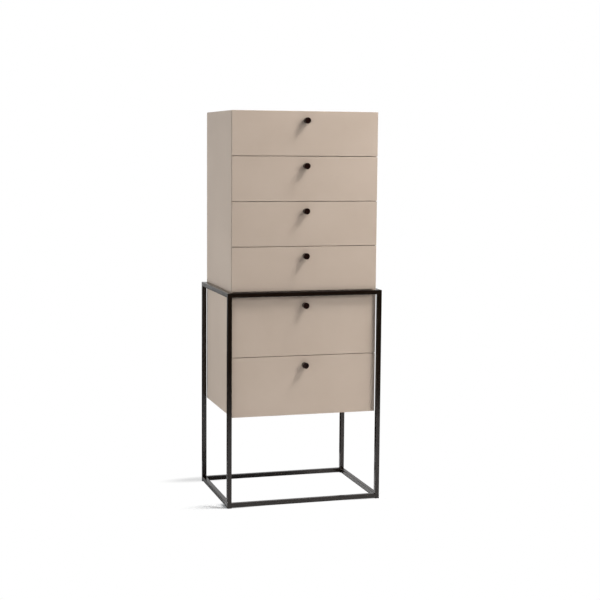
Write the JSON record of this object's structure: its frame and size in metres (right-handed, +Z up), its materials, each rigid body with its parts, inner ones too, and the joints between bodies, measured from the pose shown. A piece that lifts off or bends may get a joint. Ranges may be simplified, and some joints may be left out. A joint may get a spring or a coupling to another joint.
{
  "type": "chest on chest",
  "caption": "Tall narrow chest on chest: lacquered drawers with small round knobs, the lower chest hung in an open frame of square black tube that stands on the floor.",
  "frame": {"origin": "on the floor, at the middle of the space that the frame and the knobs take up", "axes": "+X to the right seen from the front, +Y from the drawer fronts to the back, +Z up"},
  "size_m": [0.538, 0.406, 1.322],
  "materials": {
    "taupe_lacquer": "satin sprayed lacquer on board",
    "black_steel": "fine-textured black powder coat on steel tube",
    "black_knob": "turned metal, satin black",
    "black_bolts": "black countersunk bolts",
    "zinc_steel": "zinc-plated steel",
    "birch": "oiled solid birch",
    "birch_ply": "oiled birch plywood",
    "beech": "waxed beech",
    "back_panel": "painted fibreboard panel",
    "glide_plastic": "black moulded plastic",
    "stop_rubber": "soft black rubber"
  },
  "bodies": {
    "chest": {"frame_post_front_left": "black_steel", "frame_post_front_right": "black_steel", "frame_post_back_left": "black_steel", "frame_post_back_right": "black_steel", "frame_top_rail_front": "black_steel", "frame_top_rail_back": "black_steel", "frame_top_rail_left": "black_steel", "frame_top_rail_right": "black_steel", "frame_bottom_rail_front": "black_steel", "frame_bottom_rail_back": "black_steel", "frame_bottom_rail_left": "black_steel", "frame_bottom_rail_right": "black_steel", "upper_chest_left_side": "taupe_lacquer", "upper_chest_right_side": "taupe_lacquer", "upper_chest_top": "taupe_lacquer", "upper_chest_bottom": "taupe_lacquer", "lower_chest_left_side": "taupe_lacquer", "lower_chest_right_side": "taupe_lacquer", "lower_chest_top": "taupe_lacquer", "lower_chest_bottom": "taupe_lacquer", "upper_chest_back": "back_panel", "lower_chest_back": "back_panel", "upper_chest_runners": "beech", "lower_chest_runners": "beech", "floor_glides": "glide_plastic", "frame_bolts": "black_bolts", "connector_bolts": "zinc_steel", "back_panel_screws": "zinc_steel", "lower_chest_dowels": "beech", "drawer_stops": "stop_rubber"},
    "drawer_1": {"drawer_1_front": "taupe_lacquer", "drawer_1_knob": "black_knob", "drawer_1_sides": "birch", "drawer_1_back": "birch", "drawer_1_bottom": "birch_ply"},
    "drawer_2": {"drawer_2_front": "taupe_lacquer", "drawer_2_knob": "black_knob", "drawer_2_sides": "birch", "drawer_2_back": "birch", "drawer_2_bottom": "birch_ply"},
    "drawer_3": {"drawer_3_front": "taupe_lacquer", "drawer_3_knob": "black_knob", "drawer_3_sides": "birch", "drawer_3_back": "birch", "drawer_3_bottom": "birch_ply"},
    "drawer_4": {"drawer_4_front": "taupe_lacquer", "drawer_4_knob": "black_knob", "drawer_4_sides": "birch", "drawer_4_back": "birch", "drawer_4_bottom": "birch_ply"},
    "drawer_5": {"drawer_5_front": "taupe_lacquer", "drawer_5_knob": "black_knob", "drawer_5_sides": "birch", "drawer_5_back": "birch", "drawer_5_bottom": "birch_ply"},
    "drawer_6": {"drawer_6_front": "taupe_lacquer", "drawer_6_knob": "black_knob", "drawer_6_sides": "birch", "drawer_6_back": "birch", "drawer_6_bottom": "birch_ply"}
  },
  "joints": [
    {"name": "drawer_1_slide", "type": "slide", "parent": "chest", "child": "drawer_1", "axis": [0, -1, 0], "range_m": [0, 0.24]},
    {"name": "drawer_2_slide", "type": "slide", "parent": "chest", "child": "drawer_2", "axis": [0, -1, 0], "range_m": [0, 0.24]},
    {"name": "drawer_3_slide", "type": "slide", "parent": "chest", "child": "drawer_3", "axis": [0, -1, 0], "range_m": [0, 0.24]},
    {"name": "drawer_4_slide", "type": "slide", "parent": "chest", "child": "drawer_4", "axis": [0, -1, 0], "range_m": [0, 0.24]},
    {"name": "drawer_5_slide", "type": "slide", "parent": "chest", "child": "drawer_5", "axis": [0, -1, 0], "range_m": [0, 0.24]},
    {"name": "drawer_6_slide", "type": "slide", "parent": "chest", "child": "drawer_6", "axis": [0, -1, 0], "range_m": [0, 0.24]}
  ]
}
